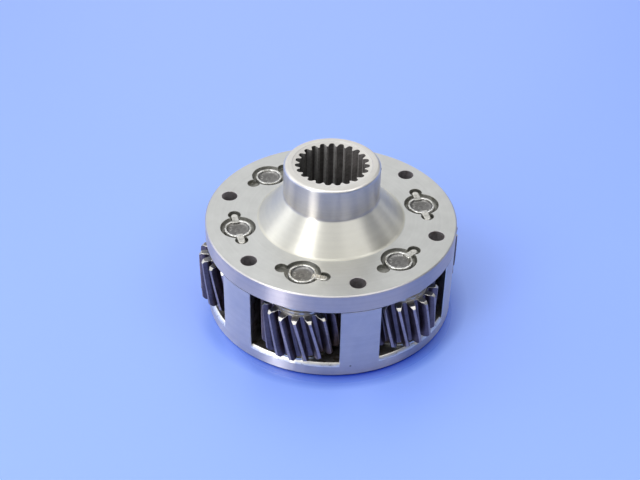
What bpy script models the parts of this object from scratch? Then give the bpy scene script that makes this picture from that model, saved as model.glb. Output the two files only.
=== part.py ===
"""Planet carrier assembly of a planetary gear set, modelled as its separate pieces.

A brazed carrier (a splined flange hub on a six-post cage) holds six helical planet gears on staked pins,
each with its needle rollers and thrust washers, around a central sun gear that is kept in place by a thrust
bearing above it and by a retainer plate and a snap ring below it.

Units: the dimensions below are in millimetres and degrees, and the model is in metres.
Frame: +Z is the common axis and points out of the hub. The origin is the centre of the cage's bottom face.
"""

import math

import bmesh
import bpy

for old in list(bpy.data.objects):
    bpy.data.objects.remove(old, do_unlink=True)

MM = 0.001
TURN = 2 * math.pi

# ---- gear train
PLANETS = 6
MODULE = 2.0  # transverse
PLANET_TEETH = 17
SUN_TEETH = 28
PRESSURE_DEG = 20.4  # transverse
HELIX_DEG = 12.0  # planets left-hand, sun right-hand
BACKLASH = 0.14  # taken off each tooth at the pitch circle
ADDENDUM = 1.0 * MODULE
DEDENDUM = 1.25 * MODULE
CENTRE_DISTANCE = MODULE * (PLANET_TEETH + SUN_TEETH) / 2
MESH_ANGLE = 5.07  # a sun tooth's centre at the teeth's upper end, so that all six planets are in mesh

# ---- carrier
CARRIER_R = 60.0
FLANGE_Z0, FLANGE_Z1 = 38.2, 47.8
FLANGE_EDGE = 0.5
HUB_R = 22.66
HUB_Z1 = 77.8
HUB_EDGE = 1.2
CONE_R = 34.2
CONE_TOP_Z = 61.2
SPLINE_TEETH = 23
SPLINE_TIP_R, SPLINE_ROOT_R = 15.2, 17.35
SPLINE_MOUTH_R = 18.7
SPLINE_ANGLE = 171.03  # a groove's centre
CAGE_TOP_Z = 38.1
PLATE_Z1 = 7.0
CAGE_BORE_R = 32.0
WINDOW_HALF = 21.36
POCKET_R = 20.3
SILL = 1.5  # chamfer on the plate's edge below each window
BRAZE_HOLE_R = 3.8
BRAZE_HOLE_CIRCLE_R = 51.5

# ---- planet pins
PIN_R = 6.5
PIN_Z0, PIN_Z1 = 0.4, 47.4
PIN_BORE_R = 6.65
PIN_SINK_R = 8.3
PIN_SINK_Z = 45.6
PIN_DISH_R = 5.2
NOTCH_R = 3.0
NOTCH_OFFSET = 10.0
LUG_R = 1.75
# which of the two notches, at -1 and +1 along the tangent, a pin's staked metal fills
LUGS = {1: (-1, 1), 2: (-1, 1), 3: (), 4: (-1, 1), 5: (1,), 6: (1,)}

# ---- planets
TEETH_Z0, TEETH_Z1 = 9.7, 33.9
PLANET_BORE_R = 9.3
PLANET_BOSS_R = 13.8
PLANET_BOSS_Z = 35.5
NEEDLES = 12
NEEDLE_INNER_R, NEEDLE_OUTER_R = 6.65, 9.15
WASHER_BORE_R = 6.8
STEEL_WASHER_R, BRONZE_WASHER_R = 14.2, 13.6
WASHER = 1.2
GAP = 0.1

# ---- sun gear and what holds it
SUN_Z0, SUN_Z1 = 6.3, 35.0
SUN_UPPER_HUB_R, SUN_LOWER_HUB_R = 25.0, 22.0
SUN_SPLINE_TEETH = 20
SUN_SPLINE_TIP_R, SUN_SPLINE_ROOT_R = 12.0, 13.6
THRUST_Z0, THRUST_Z1 = 35.1, 37.2
RACE_Z1 = 38.1
RETAINER_R0, RETAINER_R1 = 16.0, 31.6
RETAINER_Z0, RETAINER_Z1 = 3.7, 6.1
RING_R0, RING_R1 = 30.2, 33.2
RING_Z0, RING_Z1 = 2.0, 3.5
GROOVE_R = 33.5


# ---------------------------------------------------------------- materials
def material(name, colour, roughness, metallic):
    made = bpy.data.materials.new(name)
    made.use_nodes = True
    shader = made.node_tree.nodes["Principled BSDF"]
    shader.inputs["Base Color"].default_value = (*colour, 1.0)
    shader.inputs["Roughness"].default_value = roughness
    shader.inputs["Metallic"].default_value = metallic
    return made


TURNED_STEEL = material("turned_steel", (0.60, 0.60, 0.57), 0.36, 1.0)
CAGE_STEEL = material("cage_steel", (0.56, 0.56, 0.57), 0.38, 1.0)
GEAR_STEEL = material("gear_steel", (0.16, 0.155, 0.19), 0.34, 1.0)
PIN_STEEL = material("pin_steel", (0.42, 0.42, 0.41), 0.30, 1.0)
WASHER_STEEL = material("washer_steel", (0.55, 0.56, 0.54), 0.35, 1.0)
BRONZE = material("bronze", (0.50, 0.34, 0.18), 0.40, 1.0)
NEEDLE_STEEL = material("needle_steel", (0.50, 0.50, 0.51), 0.20, 1.0)
SUN_STEEL = material("sun_steel", (0.26, 0.26, 0.28), 0.34, 1.0)
SPRING_STEEL = material("spring_steel", (0.22, 0.22, 0.23), 0.42, 1.0)


# ---------------------------------------------------------------- modelling helpers
def object_of(name, bm, look=None, cutter=False):
    bmesh.ops.recalc_face_normals(bm, faces=bm.faces)
    mesh = bpy.data.meshes.new(name)
    bm.to_mesh(mesh)
    bm.free()
    made = bpy.data.objects.new(name, mesh)
    bpy.context.scene.collection.objects.link(made)
    if cutter:
        made.hide_render = True
        made.display_type = "WIRE"
    else:
        mesh.materials.append(look)
        mesh.shade_smooth()
        mesh.set_sharp_from_angle(angle=math.radians(28))
    return made


def copy_of(first, name):
    made = bpy.data.objects.new(name, first.data)
    bpy.context.scene.collection.objects.link(made)
    return made


def polar(r, degrees):
    a = math.radians(degrees)
    return r * math.cos(a), r * math.sin(a)


def circle(r, count, centre=(0.0, 0.0), start=0.0):
    return [
        (centre[0] + x, centre[1] + y)
        for x, y in (polar(r, start + 360.0 * i / count) for i in range(count))
    ]


def ring(bm, outline, z):
    return [bm.verts.new((x * MM, y * MM, z * MM)) for x, y in outline]


def wall(bm, lower, upper):
    count = len(lower)
    for i in range(count):
        j = (i + 1) % count
        bm.faces.new((lower[i], lower[j], upper[j], upper[i]))


def cap(bm, *rings):
    """Fills the flat area inside the first ring and outside the others."""
    edges = []
    for points in rings:
        for i, point in enumerate(points):
            following = points[(i + 1) % len(points)]
            edges.append(bm.edges.get((point, following)) or bm.edges.new((point, following)))
    bmesh.ops.triangle_fill(bm, use_beauty=True, use_dissolve=False, edges=edges)


def lathe_into(bm, profile, steps, angle=TURN, start=0.0):
    """Spins a closed profile of (radius, height) about the Z axis."""
    c, s = math.cos(start), math.sin(start)
    points = [bm.verts.new((r * c * MM, r * s * MM, z * MM)) for r, z in profile]
    edges = [bm.edges.new((a, b)) for a, b in zip(points, points[1:] + points[:1])]
    whole = abs(angle - TURN) < 1e-9
    geometry = points + edges
    if not whole:
        face = bm.faces.new(points)
        geometry = [face] + geometry
        first = face
    result = bmesh.ops.spin(
        bm,
        geom=geometry,
        cent=(0, 0, 0),
        axis=(0, 0, 1),
        dvec=(0, 0, 0),
        angle=angle,
        steps=steps,
        use_merge=whole,
        use_duplicate=False,
    )
    return result


def lathe(name, profile, steps, look=None, cutter=False):
    bm = bmesh.new()
    lathe_into(bm, profile, steps)
    bmesh.ops.remove_doubles(bm, verts=bm.verts, dist=1e-7)
    return object_of(name, bm, look, cutter)


def sector_into(bm, profile, steps, start_deg, end_deg):
    """The same, but for part of a turn, with both ends closed."""
    rings = []
    for k in range(steps + 1):
        degrees = start_deg + (end_deg - start_deg) * k / steps
        row = []
        for r, z in profile:
            x, y = polar(r, degrees)
            row.append(bm.verts.new((x * MM, y * MM, z * MM)))
        rings.append(row)
    for lower, upper in zip(rings, rings[1:]):
        wall(bm, lower, upper)
    bm.faces.new(rings[0])
    bm.faces.new(list(reversed(rings[-1])))


def prism_into(bm, outline, z0, z1):
    face = bm.faces.new(ring(bm, outline, z0))
    raised = bmesh.ops.extrude_face_region(bm, geom=[face])
    top = [item for item in raised["geom"] if isinstance(item, bmesh.types.BMVert)]
    bmesh.ops.translate(bm, verts=top, vec=(0, 0, (z1 - z0) * MM))


def stepped_cutter_into(bm, centre, steps, count):
    """A solid of round sections, each step being (radius, height)."""
    rows = [ring(bm, circle(r, count, centre), z) for r, z in steps]
    for lower, upper in zip(rows, rows[1:]):
        wall(bm, lower, upper)
    bm.faces.new(rows[0])
    bm.faces.new(rows[-1])


def cut(target, cutter):
    modifier = target.modifiers.new("cut_" + cutter.name, "BOOLEAN")
    modifier.operation = "DIFFERENCE"
    modifier.solver = "EXACT"
    modifier.object = cutter


def add(target, other):
    modifier = target.modifiers.new("add_" + other.name, "BOOLEAN")
    modifier.operation = "UNION"
    modifier.solver = "EXACT"
    modifier.object = other


def planet_degrees(index):
    return 360.0 / PLANETS * (index - 1)


# ---------------------------------------------------------------- gear geometry
def involute(angle):
    return math.tan(angle) - angle


def tooth_half_angle(teeth, radius):
    """Half of a tooth's width at a radius, as an angle in degrees."""
    pitch_r = MODULE * teeth / 2
    base_r = pitch_r * math.cos(math.radians(PRESSURE_DEG))
    at_pitch = (math.pi * MODULE / 2 - BACKLASH) / 2 / pitch_r
    here = math.acos(min(1.0, base_r / radius))
    return math.degrees(at_pitch + involute(math.radians(PRESSURE_DEG)) - involute(here))


def tooth_outline(teeth, turned):
    """The outline of the toothed section, with one tooth's centre at the angle `turned`."""
    pitch_r = MODULE * teeth / 2
    tip_r, root_r = pitch_r + ADDENDUM, pitch_r - DEDENDUM
    base_r = pitch_r * math.cos(math.radians(PRESSURE_DEG))
    low_r = max(base_r, root_r)
    half = [
        (root_r, tooth_half_angle(teeth, low_r) + math.degrees(0.22 / root_r)),
        (pitch_r, tooth_half_angle(teeth, pitch_r)),
        (tip_r, tooth_half_angle(teeth, tip_r)),
    ]
    outline = []
    for k in range(teeth):
        centre = turned + 360.0 * k / teeth
        outline += [polar(r, centre - a) for r, a in half]
        outline += [polar(r, centre + a) for r, a in reversed(half)]
    return outline


def toothed_rings(bm, teeth, hand, layers):
    """Rings of the helical teeth from their lower to their upper end. A tooth's centre is at 0 at the upper end."""
    twist = math.degrees(math.tan(math.radians(HELIX_DEG)) / (MODULE * teeth / 2))
    rows = []
    for k in range(layers + 1):
        z = TEETH_Z0 + (TEETH_Z1 - TEETH_Z0) * k / layers
        rows.append(ring(bm, tooth_outline(teeth, hand * twist * (z - TEETH_Z1)), z))
    for lower, upper in zip(rows, rows[1:]):
        wall(bm, lower, upper)
    return rows


def planet_phase(degrees):
    """The angle of a tooth's centre on the planet at this place, at the teeth's upper end."""
    pitch = 360.0 / PLANET_TEETH
    angle = degrees + 180 + pitch / 2 - (MESH_ANGLE - degrees) * SUN_TEETH / PLANET_TEETH
    return angle % pitch


# ---------------------------------------------------------------- carrier: flange and hub
flange = lathe(
    "carrier_flange_hub",
    [
        (CARRIER_R - 0.3, FLANGE_Z0),
        (CARRIER_R, FLANGE_Z0 + 0.3),
        (CARRIER_R, FLANGE_Z1 - FLANGE_EDGE),
        (CARRIER_R - FLANGE_EDGE, FLANGE_Z1),
        (CONE_R + 0.9, FLANGE_Z1),
        (CONE_R - 0.3, FLANGE_Z1 + 0.5),
        (HUB_R + 0.6, CONE_TOP_Z - 0.9),
        (HUB_R, CONE_TOP_Z + 0.6),
        (HUB_R, HUB_Z1 - HUB_EDGE),
        (HUB_R - HUB_EDGE, HUB_Z1),
        (SPLINE_MOUTH_R, HUB_Z1),
        (SPLINE_TIP_R, HUB_Z1 - 0.6),
        (SPLINE_TIP_R, FLANGE_Z0 + 1.0),
        (SPLINE_TIP_R + 1.0, FLANGE_Z0),
    ],
    60,
    TURNED_STEEL,
)

pitch = 360.0 / SPLINE_TEETH
grooves = []
for k in range(SPLINE_TEETH):
    centre = SPLINE_ANGLE + pitch * k
    for r, a in (
        (SPLINE_TIP_R - 0.4, -6.8),
        (SPLINE_ROOT_R - 0.95, -4.4),
        (SPLINE_ROOT_R, -1.8),
        (SPLINE_ROOT_R, 1.8),
        (SPLINE_ROOT_R - 0.95, 4.4),
        (SPLINE_TIP_R - 0.4, 6.8),
    ):
        grooves.append(polar(r, centre + a))
bm = bmesh.new()
prism_into(bm, grooves, FLANGE_Z0 - 1.2, HUB_Z1 + 1.2)
cut(flange, object_of("spline_cutter", bm, cutter=True))

bm = bmesh.new()
for i in range(1, PLANETS + 1):
    stepped_cutter_into(
        bm,
        polar(CENTRE_DISTANCE, planet_degrees(i)),
        [
            (PIN_BORE_R, FLANGE_Z0 - 1.3),
            (PIN_BORE_R, PIN_SINK_Z),
            (PIN_SINK_R - 0.2, PIN_SINK_Z),
            (PIN_SINK_R + 0.1, FLANGE_Z1 + 1.3),
        ],
        20,
    )
cut(flange, object_of("pin_bore_cutter", bm, cutter=True))

bm = bmesh.new()
for i in range(1, PLANETS + 1):
    a = math.radians(planet_degrees(i))
    x, y = polar(CENTRE_DISTANCE, planet_degrees(i))
    for side in (-1, 1):
        centre = (x - side * NOTCH_OFFSET * math.sin(a), y + side * NOTCH_OFFSET * math.cos(a))
        stepped_cutter_into(bm, centre, [(NOTCH_R, PIN_SINK_Z + 0.05), (NOTCH_R, FLANGE_Z1 + 1.1)], 12)
cut(flange, object_of("stake_notch_cutter", bm, cutter=True))

bm = bmesh.new()
for i in range(1, PLANETS + 1):
    centre = polar(BRAZE_HOLE_CIRCLE_R, planet_degrees(i) + 180.0 / PLANETS)
    stepped_cutter_into(bm, centre, [(BRAZE_HOLE_R, FLANGE_Z0 - 1.1), (BRAZE_HOLE_R, FLANGE_Z1 + 1.2)], 16)
cut(flange, object_of("braze_hole_cutter", bm, cutter=True))

# ---------------------------------------------------------------- carrier: cage
cage = lathe(
    "carrier_cage",
    [
        (CARRIER_R - 0.6, 0.0),
        (CARRIER_R, 0.6),
        (CARRIER_R, CAGE_TOP_Z),
        (CAGE_BORE_R, CAGE_TOP_Z),
        (CAGE_BORE_R, RING_Z1 + GAP),
        (GROOVE_R, RING_Z1 + GAP),
        (GROOVE_R, RING_Z0 - GAP),
        (CAGE_BORE_R, RING_Z0 - GAP),
        (CAGE_BORE_R, 0.5),
        (CAGE_BORE_R + 0.5, 0.0),
    ],
    60,
    CAGE_STEEL,
)

bm = bmesh.new()
for i in range(1, PLANETS + 1):
    turned = planet_degrees(i)
    local = [(CARRIER_R + 6, -WINDOW_HALF), (CARRIER_R + 6, WINDOW_HALF), (CENTRE_DISTANCE + 6, WINDOW_HALF)]
    for k in range(13):
        x, y = polar(POCKET_R, 90 + 180.0 * k / 12)
        local.append((CENTRE_DISTANCE + x, y))
    local.append((CENTRE_DISTANCE + 6, -WINDOW_HALF))
    outline = []
    for x, y in local:
        outline.append(polar(math.hypot(x, y), math.degrees(math.atan2(y, x)) + turned))
    prism_into(bm, outline, PLATE_Z1, CAGE_TOP_Z + 1.0)
cut(cage, object_of("window_cutter", bm, cutter=True))

bm = bmesh.new()
half = math.degrees(math.asin(WINDOW_HALF / CARRIER_R))
for i in range(1, PLANETS + 1):
    low, high = CARRIER_R - SILL - 0.1, CARRIER_R + 0.6
    total = CARRIER_R - SILL + PLATE_Z1
    sector_into(
        bm,
        [(low, total - low), (high, total - high), (high, total - low)],
        7,
        planet_degrees(i) - half,
        planet_degrees(i) + half,
    )
cut(cage, object_of("sill_cutter", bm, cutter=True))

bm = bmesh.new()
for i in range(1, PLANETS + 1):
    centre = polar(CENTRE_DISTANCE, planet_degrees(i))
    stepped_cutter_into(bm, centre, [(PIN_BORE_R, -1.0), (PIN_BORE_R, PLATE_Z1 + 1.0)], 20)
    centre = polar(BRAZE_HOLE_CIRCLE_R, planet_degrees(i) + 180.0 / PLANETS)
    stepped_cutter_into(bm, centre, [(BRAZE_HOLE_R - 0.8, CAGE_TOP_Z - 3.0), (BRAZE_HOLE_R - 0.8, CAGE_TOP_Z + 1.0)], 12)
cut(cage, object_of("cage_bore_cutter", bm, cutter=True))

# ---------------------------------------------------------------- shared meshes of the planets' small pieces
bm = bmesh.new()
rows = toothed_rings(bm, PLANET_TEETH, -1, 2)
boss = ring(bm, circle(PLANET_BOSS_R, 24), TEETH_Z1)
boss_top = ring(bm, circle(PLANET_BOSS_R, 24), PLANET_BOSS_Z)
bore_top = ring(bm, circle(PLANET_BORE_R, 24), PLANET_BOSS_Z)
bore_low = ring(bm, circle(PLANET_BORE_R, 24), TEETH_Z0)
cap(bm, rows[-1], boss)
wall(bm, boss, boss_top)
wall(bm, boss_top, bore_top)
wall(bm, bore_low, bore_top)
cap(bm, rows[0], bore_low)
planet_first = object_of("planet_gear_1", bm, GEAR_STEEL)

outer, inner = [], []
for k in range(NEEDLES):
    centre = 360.0 * k / NEEDLES
    swell = (NEEDLE_OUTER_R - NEEDLE_INNER_R) / 2
    for a, full in ((-7.0, 0.92), (0.0, 1.0), (7.0, 0.92)):
        middle = (NEEDLE_OUTER_R + NEEDLE_INNER_R) / 2
        outer.append(polar(middle + swell * full, centre + a))
        inner.append(polar(middle - swell * full, centre + a))
bm = bmesh.new()
low_out, low_in = ring(bm, outer, TEETH_Z0 + 0.4), ring(bm, inner, TEETH_Z0 + 0.4)
top_out, top_in = ring(bm, outer, PLANET_BOSS_Z - 0.4), ring(bm, inner, PLANET_BOSS_Z - 0.4)
wall(bm, low_out, top_out)
wall(bm, low_in, top_in)
wall(bm, low_out, low_in)
wall(bm, top_out, top_in)
needle_first = object_of("needle_roller_cage_1", bm, NEEDLE_STEEL)


def washer(name, radius, look):
    """A flat washer whose lower face is at height 0."""
    return lathe(name, [(WASHER_BORE_R, 0), (radius, 0), (radius, WASHER), (WASHER_BORE_R, WASHER)], 16, look)


steel_first = washer("upper_steel_washer_1", STEEL_WASHER_R, WASHER_STEEL)
bronze_first = washer("upper_bronze_washer_1", BRONZE_WASHER_R, BRONZE)

pin_profile = [
    (0.0, PIN_Z0),
    (PIN_R - 0.5, PIN_Z0),
    (PIN_R, PIN_Z0 + 0.5),
    (PIN_R, PIN_Z1 - 0.4),
    (PIN_R - 0.3, PIN_Z1),
    (PIN_DISH_R, PIN_Z1),
    (PIN_DISH_R - 0.6, PIN_Z1 - 1.2),
    (0.0, PIN_Z1 - 1.2),
]
pin_first = lathe("planet_pin_1", pin_profile, 20, PIN_STEEL)

# ---------------------------------------------------------------- six planets on their axes
for i in range(1, PLANETS + 1):
    degrees = planet_degrees(i)
    x, y = polar(CENTRE_DISTANCE, degrees)
    axis = bpy.data.objects.new(f"planet_axis_{i}", None)
    axis.location = (x * MM, y * MM, 0)
    bpy.context.scene.collection.objects.link(axis)

    gear = planet_first if i == 1 else copy_of(planet_first, f"planet_gear_{i}")
    gear.rotation_euler[2] = math.radians(planet_phase(degrees))
    needles = needle_first if i == 1 else copy_of(needle_first, f"needle_roller_cage_{i}")
    needles.rotation_euler[2] = math.radians(degrees)
    pin = pin_first if i == 1 else copy_of(pin_first, f"planet_pin_{i}")
    pin.rotation_euler[2] = math.radians(degrees)

    upper_steel = steel_first if i == 1 else copy_of(steel_first, f"upper_steel_washer_{i}")
    upper_bronze = bronze_first if i == 1 else copy_of(bronze_first, f"upper_bronze_washer_{i}")
    lower_steel = copy_of(steel_first, f"lower_steel_washer_{i}")
    lower_bronze = copy_of(bronze_first, f"lower_bronze_washer_{i}")
    upper_bronze.location[2] = (PLANET_BOSS_Z + GAP) * MM
    upper_steel.location[2] = (PLANET_BOSS_Z + 2 * GAP + WASHER) * MM
    lower_bronze.location[2] = (TEETH_Z0 - GAP - WASHER) * MM
    lower_steel.location[2] = (TEETH_Z0 - 2 * GAP - 2 * WASHER) * MM
    for piece in (gear, needles, pin, upper_steel, upper_bronze, lower_steel, lower_bronze):
        piece.parent = axis

    # staked metal, pushed from the pin's rim into the flange's notches
    for side in LUGS[i]:
        outline = [(LUG_R, side * 4.2), (LUG_R, side * NOTCH_OFFSET)]
        for k in range(1, 6):
            bx, by = polar(LUG_R, 180.0 * k / 6)
            outline.append((bx, side * (NOTCH_OFFSET + by)))
        outline += [(-LUG_R, side * NOTCH_OFFSET), (-LUG_R, side * 4.2)]
        bm = bmesh.new()
        prism_into(bm, outline, PIN_SINK_Z + 0.35, PIN_Z1 - 0.2)
        lug = object_of(f"lug_{i}_{'a' if side < 0 else 'b'}", bm, cutter=True)
        lug.rotation_euler[2] = math.radians(degrees)
        lug.parent = axis
        add(pin, lug)

# ---------------------------------------------------------------- sun gear
bm = bmesh.new()
rows = toothed_rings(bm, SUN_TEETH, 1, 2)
spline = []
for k in range(SUN_SPLINE_TEETH):
    centre = 360.0 / SUN_SPLINE_TEETH * k
    for r, a in (
        (SUN_SPLINE_TIP_R, -7.4),
        (SUN_SPLINE_ROOT_R, -4.4),
        (SUN_SPLINE_ROOT_R, 4.4),
        (SUN_SPLINE_TIP_R, 7.4),
    ):
        spline.append(polar(r, centre + a))
upper = ring(bm, circle(SUN_UPPER_HUB_R, 36), TEETH_Z1)
upper_end = ring(bm, circle(SUN_UPPER_HUB_R, 36), SUN_Z1)
lower = ring(bm, circle(SUN_LOWER_HUB_R, 36), TEETH_Z0)
lower_end = ring(bm, circle(SUN_LOWER_HUB_R, 36), SUN_Z0)
spline_top, spline_low = ring(bm, spline, SUN_Z1), ring(bm, spline, SUN_Z0)
cap(bm, rows[-1], upper)
wall(bm, upper, upper_end)
cap(bm, upper_end, spline_top)
wall(bm, spline_low, spline_top)
cap(bm, lower_end, spline_low)
wall(bm, lower, lower_end)
cap(bm, rows[0], lower)
sun = object_of("sun_gear", bm, SUN_STEEL)
sun.rotation_euler[2] = math.radians(MESH_ANGLE)

# ---------------------------------------------------------------- thrust bearing over the sun
lathe(
    "thrust_race",
    [(18.0, THRUST_Z1 + GAP), (28.0, THRUST_Z1 + GAP), (28.0, RACE_Z1), (18.0, RACE_Z1)],
    32,
    WASHER_STEEL,
)

# a flat needle cage: its rollers stand a little proud of both faces
rollers = 12
inner_r, outer_r = 18.5, 27.5
bm = bmesh.new()
rows = {"low_in": [], "low_out": [], "top_in": [], "top_out": []}
for k in range(rollers):
    for a, full in ((-9.0, 0.0), (-6.0, 1.0), (6.0, 1.0), (9.0, 0.0)):
        degrees = 360.0 / rollers * k + a
        low = THRUST_Z0 + 0.4 * (1 - full)
        top = THRUST_Z1 - 0.4 * (1 - full)
        for key, r, z in (("low_in", inner_r, low), ("low_out", outer_r, low), ("top_in", inner_r, top), ("top_out", outer_r, top)):
            px, py = polar(r, degrees)
            rows[key].append(bm.verts.new((px * MM, py * MM, z * MM)))
wall(bm, rows["low_out"], rows["top_out"])
wall(bm, rows["low_in"], rows["top_in"])
wall(bm, rows["low_out"], rows["low_in"])
wall(bm, rows["top_out"], rows["top_in"])
object_of("thrust_needle_cage", bm, NEEDLE_STEEL)

# ---------------------------------------------------------------- what keeps the sun in from below
lathe(
    "sun_retainer_plate",
    [
        (RETAINER_R0, RETAINER_Z0 + 0.4),
        (RETAINER_R0 + 0.4, RETAINER_Z0),
        (RETAINER_R1, RETAINER_Z0),
        (RETAINER_R1, RETAINER_Z1),
        (RETAINER_R0, RETAINER_Z1),
    ],
    40,
    WASHER_STEEL,
)

bm = bmesh.new()
sector_into(
    bm,
    [(RING_R0, RING_Z0), (RING_R1, RING_Z0), (RING_R1, RING_Z1), (RING_R0, RING_Z1)],
    36,
    277.0,
    623.0,
)
object_of("snap_ring", bm, SPRING_STEEL)
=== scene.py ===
import math

import bmesh
import bpy
from mathutils import Matrix, Vector


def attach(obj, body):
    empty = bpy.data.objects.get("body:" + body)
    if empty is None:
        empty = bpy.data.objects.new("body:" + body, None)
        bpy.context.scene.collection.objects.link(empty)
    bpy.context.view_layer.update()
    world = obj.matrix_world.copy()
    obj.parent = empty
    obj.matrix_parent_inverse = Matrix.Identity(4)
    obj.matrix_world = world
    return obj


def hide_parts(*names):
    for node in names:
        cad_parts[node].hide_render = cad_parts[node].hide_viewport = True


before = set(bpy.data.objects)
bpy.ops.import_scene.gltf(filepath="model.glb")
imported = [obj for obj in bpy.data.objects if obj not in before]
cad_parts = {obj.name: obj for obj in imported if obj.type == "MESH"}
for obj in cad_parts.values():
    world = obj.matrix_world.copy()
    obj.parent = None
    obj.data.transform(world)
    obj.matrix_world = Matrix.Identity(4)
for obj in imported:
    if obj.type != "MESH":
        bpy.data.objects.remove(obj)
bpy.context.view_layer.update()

MM = 0.001

# ------------------------------------------------------------------ the CAD's own dimensions, in millimetres
PLANETS = 6
MODULE = 2.0
PLANET_TEETH, SUN_TEETH = 17, 28
PRESSURE = math.radians(20.4)
HELIX = math.radians(12.0)
BACKLASH = 0.14
CENTRE = MODULE * (PLANET_TEETH + SUN_TEETH) / 2
MESH_ANGLE = 5.07
TEETH_Z0, TEETH_Z1 = 9.7, 33.9
FLANGE_Z0, FLANGE_Z1, HUB_Z1 = 38.2, 47.8, 77.8
CAGE_TOP = 38.1
PLATE_Z1 = 7.0
R_OUT = 60.0
WINDOW_HALF = 21.36
POCKET_R = 20.3
HUB_R = 22.66
SINK_Z = 45.6
PIN_Z1 = 47.4
NOTCH_R, NOTCH_OFFSET = 3.0, 10.0
MARK_ANGLE, MARK_Z = -94.1, 5.75
LUGS = {1: (-1, 1), 2: (-1, 1), 3: (), 4: (-1, 1), 5: (1,), 6: (1,)}


# ------------------------------------------------------------------ materials
def nodes_of(name):
    made = bpy.data.materials.new(name)
    made.use_nodes = True
    tree = made.node_tree
    return made, tree, tree.nodes["Principled BSDF"]


def math_node(tree, operation, a, b=None, clamp=False):
    node = tree.nodes.new("ShaderNodeMath")
    node.operation = operation
    node.use_clamp = clamp
    for socket, value in zip(node.inputs, (a, b)):
        if value is None:
            continue
        if isinstance(value, (int, float)):
            socket.default_value = value
        else:
            tree.links.new(value, socket)
    return node.outputs[0]


def ramp(tree, value, low, high, to_low, to_high):
    node = tree.nodes.new("ShaderNodeMapRange")
    node.clamp = True
    tree.links.new(value, node.inputs["Value"])
    node.inputs["From Min"].default_value = low
    node.inputs["From Max"].default_value = high
    node.inputs["To Min"].default_value = to_low
    node.inputs["To Max"].default_value = to_high
    return node.outputs["Result"]


def noise(tree, vector, scale, detail=2.0, roughness=0.5):
    node = tree.nodes.new("ShaderNodeTexNoise")
    node.inputs["Scale"].default_value = scale
    node.inputs["Detail"].default_value = detail
    node.inputs["Roughness"].default_value = roughness
    tree.links.new(vector, node.inputs["Vector"])
    return node.outputs["Fac"]


def mixed(tree, factor, low, high):
    node = tree.nodes.new("ShaderNodeMix")
    node.data_type = "RGBA"
    sockets = {s.identifier: s for s in node.inputs}
    tree.links.new(factor, sockets["Factor_Float"])
    sockets["A_Color"].default_value = (*low, 1)
    sockets["B_Color"].default_value = (*high, 1)
    return [s for s in node.outputs if s.identifier == "Result_Color"][0]


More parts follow.
